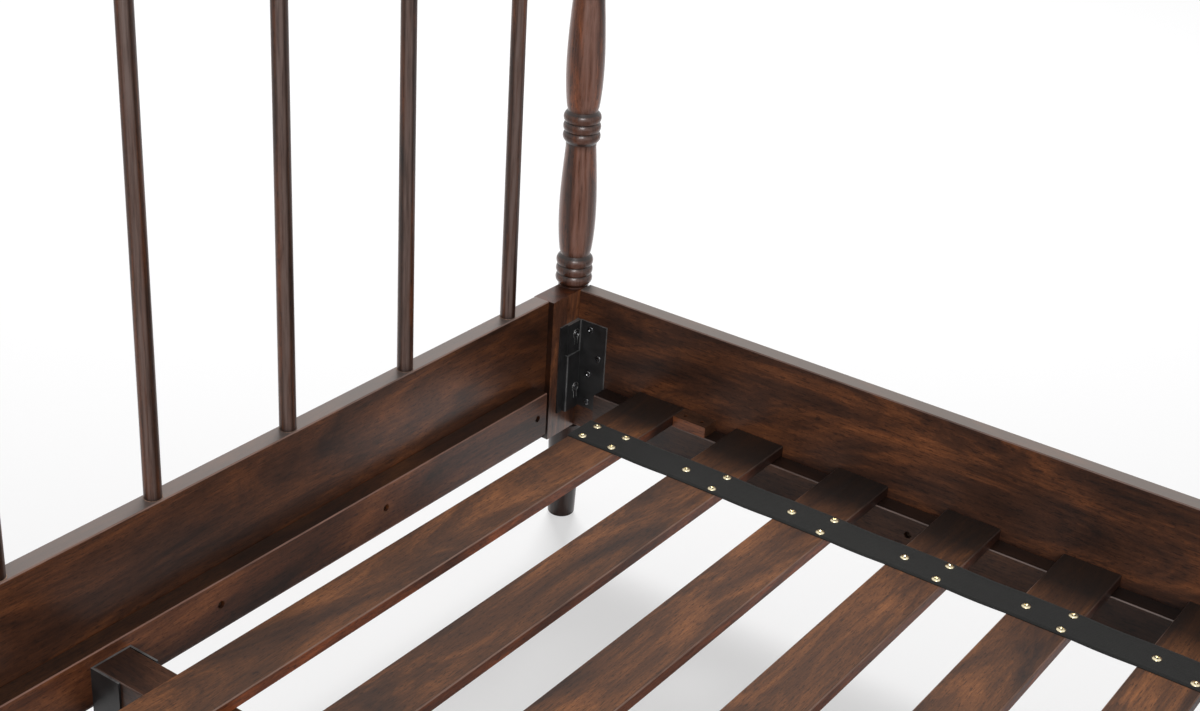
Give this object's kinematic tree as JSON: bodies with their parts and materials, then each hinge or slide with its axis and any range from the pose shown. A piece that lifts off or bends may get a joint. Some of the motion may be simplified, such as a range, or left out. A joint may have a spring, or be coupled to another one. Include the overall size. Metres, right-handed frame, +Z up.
{
  "type": "spindle bed frame",
  "caption": "Dark hardwood spindle bed frame with turned head posts, plank rails hung in steel corner keepers, and a strapped slat roll resting on ledgers",
  "frame": {"origin": "bottom centre of the bed's bounding box, on the floor midway between the four posts", "axes": "+X to the right side seen from the foot, +Y toward the headboard, +Z up"},
  "size_m": [1.6494, 2.1346, 1.1295],
  "materials": {
    "turned_wood": "satin walnut stain",
    "board_wood": "satin walnut stain",
    "slat_wood": "satin walnut stain",
    "webbing": "matt woven webbing",
    "steel": "satin black powder coat",
    "screw_steel": "black oxide",
    "foot_plastic": "black nylon"
  },
  "bodies": {
    "frame": {"beam_hangers": "steel", "bracket_screws": "screw_steel", "centre_beam": "slat_wood", "centre_leg_1": "slat_wood", "centre_leg_2": "slat_wood", "foot_block_left": "board_wood", "foot_block_right": "board_wood", "foot_cleat": "slat_wood", "foot_post_left": "turned_wood", "foot_post_right": "turned_wood", "footboard": "board_wood", "head_block_left": "board_wood", "head_block_right": "board_wood", "head_cleat": "slat_wood", "head_post_left": "turned_wood", "head_post_right": "turned_wood", "headboard_lower_board": "board_wood", "headboard_top_rail": "board_wood", "keeper_foot_left": "steel", "keeper_foot_right": "steel", "keeper_head_left": "steel", "keeper_head_right": "steel", "ledger_left": "slat_wood", "ledger_right": "slat_wood", "rail_bracket_foot_left": "steel", "rail_bracket_foot_right": "steel", "rail_bracket_head_left": "steel", "rail_bracket_head_right": "steel", "side_rail_left": "board_wood", "side_rail_right": "board_wood", "spindle_1": "turned_wood", "spindle_2": "turned_wood", "spindle_3": "turned_wood", "spindle_4": "turned_wood", "spindle_5": "turned_wood", "spindle_6": "turned_wood", "spindle_7": "turned_wood", "spindle_8": "turned_wood", "stop_blocks": "slat_wood"},
    "slat_roll": {"slat_01": "slat_wood", "slat_02": "slat_wood", "slat_03": "slat_wood", "slat_04": "slat_wood", "slat_05": "slat_wood", "slat_06": "slat_wood", "slat_07": "slat_wood", "slat_08": "slat_wood", "slat_09": "slat_wood", "slat_10": "slat_wood", "slat_11": "slat_wood", "slat_12": "slat_wood", "slat_13": "slat_wood", "strap_left": "webbing", "strap_right": "webbing"},
    "levelling_foot_a": {"levelling_foot_1": "foot_plastic"},
    "levelling_foot_b": {"levelling_foot_2": "foot_plastic"}
  },
  "joints": [
    {"name": "slat_roll_lift", "type": "slide", "parent": "frame", "child": "slat_roll", "axis": [0, 0, 1], "range_m": [0, 0.25]},
    {"name": "levelling_foot_a_stud", "type": "slide", "parent": "frame", "child": "levelling_foot_a", "axis": [0, 0, 1], "range_m": [0, 0.01]},
    {"name": "levelling_foot_b_stud", "type": "slide", "parent": "frame", "child": "levelling_foot_b", "axis": [0, 0, 1], "range_m": [0, 0.01]}
  ]
}
